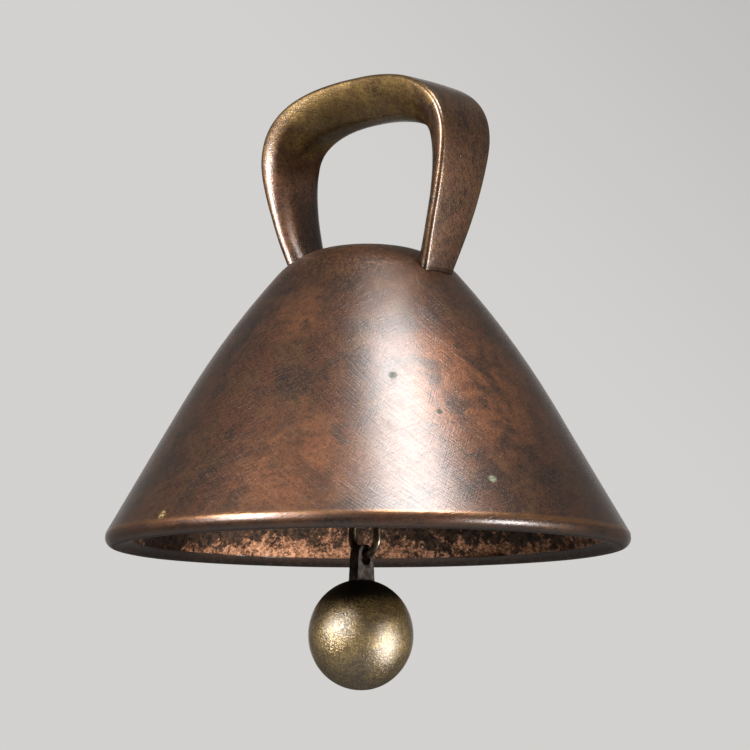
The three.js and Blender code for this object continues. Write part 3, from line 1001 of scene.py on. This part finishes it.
def shell_finish():
    """Brown bronze patina, sanded across and waxed, bright along the arris where it rubs, with painted shade
    under the lip and painted light and shade inside.
    """
    f = Finish("shell_patina")
    height = f.above_lip()
    inside = f.attribute("inside")
    outside = f.less(inside)
    sheet = f.unrolled()
    paint_patina(f)
    sanding = [(0, 0, 60), (0, 0, -48), (0, 0, 74), (0, 0, 25)]
    grain = f.brushed(sanding, 0.2, 4.5, sheet)
    mottle = f.plus(f.times(f.noise(0.3, 3, 0.75, 64), 2.2), -0.6)
    below_crown = f.ramp(f.radius(), 14, 26)
    grain = f.blend(below_crown, mottle, grain)
    strokes = f.strokes(sanding[:2], 0.16, 6, sheet)
    lines = f.most(0, *(f.ramp(stroke, 0.6, 0.72) for stroke in strokes))
    lines = f.times(lines, below_crown)
    f.paint(f.ramp(grain, 0.47, 0.55, 0, 0.4), (0.11, 0.046, 0.019))
    from_arris = f.math("ABSOLUTE", f.math("SUBTRACT", height, (ARRIS - LIP) / MM))
    patchy = f.ramp(f.noise(7, 4, 0.6, 12), 0.36, 0.6, 0.25, 1)
    wear = f.times(f.ramp(from_arris, 0.05, 0.75, 1, 0), patchy, outside)
    f.paint(f.times(wear, 0.7), (0.36, 0.15, 0.042))
    # Dirt and painted shade: the narrow rest and the bevel under the lip are painted darker, partly dirt
    # where the bell stands and partly the shade under the lip.
    mouth = MOUTH / MM
    rest = f.times(f.ramp(height, 0.2, 2.2, 1, 0), f.ramp(f.radius(), mouth - 1.8, mouth - 0.6, 1, 0))
    rest_dirt_and_shade = f.mix(f.ramp(f.noise(1.1, 5, 0.75, 35), 0.46, 0.62), (0.018, 0.011, 0.008), (0.085, 0.042, 0.024))
    f.paint(f.times(rest, 0.9), rest_dirt_and_shade)
    cast, copper = inside_color(f)
    f.paint(inside, cast)
    stains = f.most(f.spot(on_shell(7.4, 31.6), 0.9), f.spot(on_shell(19.2, 24), 0.6))
    stains = f.times(stains, f.ramp(f.noise(0.8, 4, 0.7, 92), 0.3, 0.5))
    f.paint(stains, (0.03, 0.04, 0.03))
    verdigris = f.times(f.spot(on_shell(28.7, 10.3), 0.75), f.ramp(f.noise(0.5, 3, 0.6, 38), 0.35, 0.5))
    f.paint(f.times(verdigris, 0.7), (0.34, 0.37, 0.24))
    nick = f.times(f.spot(on_shell(-48.6, 4), 0.9), f.ramp(f.noise(0.6, 3, 0.6, 5), 0.42, 0.52))
    f.paint(nick, (0.75, 0.55, 0.22))
    f.put("Base Color", f.color)
    f.put("Metallic", 0.93)
    rough = f.swing(f.swing(0.53, f.noise(3.5, 5, 0.7, 43), 0.25), grain, 0.4)
    f.put("Roughness", f.blend(inside, f.blend(wear, rough, 0.36), 0.5))
    crown = f.ramp(f.radius(), 27, 12, 0, 0.8)
    bare = f.most(f.times(rest, 0.85), f.times(stains, 0.8), crown)
    f.put("Coat Weight", f.blend(inside, f.less(bare), 0.05))
    f.put("Coat Roughness", 0.29)
    f.put("Coat IOR", 1.68)
    fine = f.math("SUBTRACT", grain, f.times(lines, 0.14))
    skin = f.bump(f.times(fine, outside), 0.135 * MM, 0.45)
    cast_bump = f.plus(f.noise(1.2, 5, 0.7, 3), f.times(copper, 0.25))
    f.put("Normal", f.bump(f.times(cast_bump, inside), 0.5 * MM, 0.8, skin))
    f.put("Coat Normal", skin)
    return f.material


def handle_finish():
    """Brown bronze rubbed to olive gold along the top and the arrises, with painted shade at the feet, in the
    inner corners and on the top's left.
    """
    f = Finish("handle_patina")
    edge = f.attribute("edge")
    along = f.attribute("along")
    flat = f.attribute("flat")
    patches = f.noise(5, 5, 0.65, 5, wobble=0.4)
    speck = f.noise(0.7, 4, 0.75, 18)
    flecks = f.noise(0.3, 3, 0.6, 71)
    leg = f.mix(f.ramp(patches, 0.38, 0.6), (0.045, 0.019, 0.012), (0.115, 0.045, 0.023))
    gold = f.mix(f.ramp(patches, 0.36, 0.62), (0.2, 0.118, 0.034), (0.36, 0.23, 0.066))
    top = f.ramp(f.swing(along, patches, 0.8), 0.52, 0.85)
    f.color = f.mix(f.times(top, f.less(f.times(flat, 0.75))), leg, gold)
    f.paint(f.ramp(speck, 0.42, 0.64, 0, 0.65), (0.022, 0.011, 0.005))
    f.paint(f.ramp(flecks, 0.55, 0.64, 0, 0.5), (0.24, 0.13, 0.05))
    f.paint(f.ramp(flecks, 0.45, 0.34, 0, 0.7), (0.014, 0.008, 0.004))
    rub = f.times(f.ramp(edge, 0.1, 1.1, 1, 0), f.ramp(f.noise(2.2, 5, 0.75, 66), 0.36, 0.6, 0.1, 1))
    rub = f.times(rub, f.ramp(flecks, 0.4, 0.6, 0.3, 1), f.ramp(along, 0, 0.9, 0.3, 1))
    f.paint(f.times(rub, 0.75), (0.3, 0.185, 0.066))
    grain = f.brushed([(0, 20, -40), (40, 0, 75), (10, -60, 30)], 0.15, 2)
    f.paint(f.ramp(grain, 0.47, 0.55, 0, 0.4), (0.16, 0.08, 0.034))
    # Darker towards the feet: partly dirt, partly painted shade where the feet meet the dome.
    f.paint(f.ramp(along, 0, 0.12, 0.35, 0), (0.015, 0.008, 0.005))
    # Painted shade: a darker, less glossy patch on the left bend of the top.
    top_left_shade = f.times(f.spot((handle_middle / MM - 9, 0, HANDLE_TOP / MM - 4), 10), 0.6)
    f.paint(top_left_shade, (0.075, 0.046, 0.017))
    # Painted shade in the inner corners of the bends: darker, rougher and without coat.
    bend = f.times(f.ramp(along, 0.36, 0.48), f.ramp(along, 0.7, 0.92, 1, 0))
    corner = f.times(bend, f.ramp(edge, 2.2, 4), f.less(flat))
    f.paint(f.times(corner, 0.6), (0.02, 0.012, 0.006))
    seam = f.ramp(along, 0.002, 0.006, 0.5, 0)
    f.paint(seam, (0.006, 0.004, 0.003))
    f.put("Base Color", f.color)
    f.put("Metallic", 0.95)
    f.put("Roughness", f.blend(corner, f.blend(rub, f.swing(0.5, grain, 0.5), 0.34), 0.8))
    f.put("Coat Weight", f.less(f.most(seam, top_left_shade, corner)))
    f.put("Coat Roughness", 0.25)
    f.put("Coat IOR", 1.62)
    pits = f.ramp(f.noise(0.9, 2, 0.5, 23), 0.7, 0.76)
    normal = f.bump(f.math("SUBTRACT", grain, f.times(pits, 0.6)), 0.14 * MM, 0.45)
    f.put("Normal", normal)
    f.put("Coat Normal", normal)
    return f.material


def ball_finish():
    """Olive gold brass under a fine dark speckle, with painted shade on its top and its lower part."""
    f = Finish("ball_patina")
    patches = f.noise(7, 4, 0.6, 11, wobble=0.3)
    speckle = f.noise(0.38, 3, 0.75, 29)
    strokes = f.brushed([(0, 80, 0), (20, 30, 0), (-30, 60, 0)], 0.13, 0.9)
    f.color = f.mix(f.ramp(patches, 0.38, 0.62), (0.4, 0.275, 0.122), (0.74, 0.5, 0.185))
    f.paint(f.ramp(speckle, 0.44, 0.58, 0, 0.75), (0.06, 0.04, 0.018))
    f.paint(f.ramp(f.noise(2.2, 4, 0.6, 47), 0.5, 0.68, 0, 0.5), (0.12, 0.078, 0.036))
    height = f.math("SUBTRACT", f.z, ball_low.z / MM)
    # Painted shade and reflection: the ball's top nearly black, as under the bell, with a sloping edge.
    slanted = f.plus(height, f.times(f.plus(f.x, f.y), -0.05))
    top_shade = f.ramp(f.swing(slanted, speckle, 3), 15.7, 19.9, 0, 0.97)
    f.paint(top_shade, (0.01, 0.008, 0.006))
    # Painted shade: the lower part of the ball darker.
    low = f.ramp(height, 9.1, 0.6)
    f.paint(f.times(low, 0.6), (0.08, 0.055, 0.028))
    lines = f.times(f.ramp(strokes, 0.47, 0.53), f.ramp(low, 0, 1, 0.08, 0.65))
    f.paint(lines, (0.04, 0.026, 0.014))
    f.put("Base Color", f.color)
    f.put("Metallic", 0.95)
    f.put("Roughness", f.blend(top_shade, f.ramp(speckle, 0.35, 0.65, 0.38, 0.52), 0.65))
    f.put("Coat Weight", f.less(f.most(f.times(low, 0.7), top_shade)))
    f.put("Coat Roughness", 0.2)
    f.put("Coat IOR", 2.2)
    normal = f.bump(f.plus(f.times(speckle, 0.6), strokes), 0.2 * MM, 0.7)
    f.put("Normal", normal)
    f.put("Coat Normal", normal)
    return f.material


def wire_finish():
    """Drawn brass wire, dulled dark brown with bright rubbed patches."""
    f = Finish("wire_brass")
    patches = f.noise(2.4, 4, 0.6, 3)
    grain = f.noise(0.35, 3, 0.6, 19)
    f.color = f.mix(f.ramp(patches, 0.4, 0.62), (0.1, 0.075, 0.045), (0.32, 0.245, 0.15))
    f.paint(f.ramp(grain, 0.48, 0.7, 0, 0.6), (0.05, 0.035, 0.022))
    f.put("Base Color", f.color)
    f.put("Metallic", 1)
    f.put("Roughness", f.ramp(patches, 0.3, 0.7, 0.4, 0.26))
    f.put("Coat Weight", 0.6)
    f.put("Coat Roughness", 0.2)
    f.put("Normal", f.bump(grain, 0.04 * MM, 0.5))
    return f.material


def steel_finish():
    """Dark mill-scaled steel with a grey-brown bloom."""
    f = Finish("tab_steel")
    patches = f.noise(1.2, 5, 0.68, 9)
    grain = f.noise(0.35, 4, 0.7, 37)
    f.color = f.mix(f.ramp(patches, 0.4, 0.6), (0.045, 0.036, 0.03), (0.13, 0.105, 0.088))
    f.paint(f.ramp(grain, 0.46, 0.66, 0, 0.65), (0.05, 0.038, 0.03))
    f.put("Base Color", f.color)
    f.put("Metallic", 0.85)
    f.put("Roughness", f.ramp(grain, 0.3, 0.7, 0.42, 0.6))
    f.put("Normal", f.bump(f.plus(patches, grain), 0.14 * MM, 0.7))
    return f.material


def fastener_finish():
    """Turned brass in light and dark patches, with a darker fine grain."""
    f = Finish("fastener_brass")
    patches = f.noise(1.8, 4, 0.6, 14)
    grain = f.noise(0.3, 3, 0.6, 52)
    f.color = f.mix(f.ramp(patches, 0.38, 0.62), (0.24, 0.17, 0.085), (0.45, 0.34, 0.17))
    f.paint(f.ramp(grain, 0.52, 0.7, 0, 0.5), (0.1, 0.07, 0.04))
    f.put("Base Color", f.color)
    f.put("Metallic", 1)
    f.put("Roughness", f.ramp(patches, 0.3, 0.7, 0.45, 0.3))
    f.put("Normal", f.bump(grain, 0.03 * MM, 0.4))
    return f.material


# ---- camera, light and floor ----

CAMERA_AWAY = 600 * MM
CAMERA_BELOW = 47.6 * MM  # under the lip
CAMERA_TILT = math.radians(8.02)
CAMERA_PAN = math.radians(0.14)
BACKDROP_COLOR = (1, 0.985, 0.965)


def make_camera():
    data = bpy.data.cameras.new("camera")
    data.sensor_width = 36
    data.lens = 137.5
    data.clip_start = 0.01
    data.clip_end = 20
    camera = bpy.data.objects.new("camera", data)
    x = CAMERA_AWAY * math.sin(CAMERA_TURN)
    y = -CAMERA_AWAY * math.cos(CAMERA_TURN)
    camera.location = (x, y, LIP - CAMERA_BELOW)
    camera.rotation_euler = (math.pi / 2 + CAMERA_TILT, 0, CAMERA_TURN - CAMERA_PAN)
    bpy.context.scene.collection.objects.link(camera)
    bpy.context.scene.camera = camera


def softbox(name, azimuth, elevation, width, height, brightness):
    """A light facing the bell. Its place, right of the camera's, and its size are in degrees."""
    away = 900 * MM
    data = bpy.data.lights.new(name, "AREA")
    data.shape = "RECTANGLE"
    data.size = 2 * away * math.tan(math.radians(width / 2))
    data.size_y = 2 * away * math.tan(math.radians(height / 2))
    data.energy = brightness * math.pi * data.size * data.size_y
    light = bpy.data.objects.new(name, data)
    turn = CAMERA_TURN + math.radians(azimuth)
    rise = math.radians(elevation)
    out = Vector((math.sin(turn) * math.cos(rise), -math.cos(turn) * math.cos(rise), math.sin(rise)))
    light.location = Vector((0, 0, (LIP + DOME) / 2)) + out * away
    light.rotation_mode = "QUATERNION"
    light.rotation_quaternion = out.to_track_quat("Z", "Y")
    light.visible_camera = False
    bpy.context.scene.collection.objects.link(light)


def make_floor():
    shape = bmesh.new()
    bmesh.ops.create_grid(shape, x_segments=8, y_segments=8, size=12)
    floor = finish_mesh("floor", shape)
    floor.location.z = ball_low.z - 1.2
    f = Finish("pale_floor")
    f.put("Base Color", (0.6, 0.595, 0.585))
    f.put("Roughness", f.ramp(f.noise(40), 0.3, 0.7, 0.8, 0.9))
    f.put("Emission Color", BACKDROP_COLOR)
    f.put("Emission Strength", f.times(f.seen(), 0.52))
    floor.data.materials.append(f.material)


def make_world():
    """A pale backdrop behind the bell, darker towards its upper right, in a dim room."""
    world = bpy.data.worlds.new("studio")
    bpy.context.scene.world = world
    world.use_nodes = True
    w = Nodes(world.node_tree)
    sky = w.node("ShaderNodeTexCoord").outputs["Generated"]
    right = Vector((math.cos(CAMERA_TURN), math.sin(CAMERA_TURN), 0))
    behind = Vector((-math.sin(CAMERA_TURN), math.cos(CAMERA_TURN), math.tan(CAMERA_TILT)))
    shaders = []
    for direction, *steps in ((behind, 0.88, 0.985, 0.13, 0.6), (right + UP, 0.12, 0.36, 0.65, 0.49)):
        facing = w.vector("DOT_PRODUCT", sky, direction.normalized(), "Value")
        inputs = {"Color": BACKDROP_COLOR, "Strength": w.ramp(facing, *steps)}
        shaders.append(w.node("ShaderNodeBackground", inputs).outputs[0])
    room, backdrop = shaders
    either = w.node("ShaderNodeMixShader", {0: w.seen(), 1: room, 2: backdrop})
    w.node("ShaderNodeOutputWorld", {0: either.outputs[0]})


def make_lights():
    softbox("key_overhead", 31, 58, 22, 34, 17.7)
    softbox("left_front", -52, 17, 22, 27, 30)
    softbox("right_front", 63, -23, 15, 22, 30)


# ---- assembly ----


def main():
    make_camera()
    make_world()
    make_lights()
    make_floor()
    bpy.context.scene.view_settings.view_transform = "Standard"
    wire = wire_finish()
    brass = fastener_finish()
    make_shell(shell_finish())
    make_handle(handle_finish())
    for word, side in (("left", -1), ("right", 1)):
        make_screw(word, side, brass)
        make_washer(word, side, brass)
    make_lock_nut(brass)
    make_crown_eye(wire)
    make_link("upper_ring", "top_link", "top_link", wire, 60)
    make_hanger(wire)
    make_link("lower_ring", "clapper_link", "clapper_link", wire, 62, RING_SHIFT)
    make_tab(steel_finish())
    make_ball(ball_finish())


main()
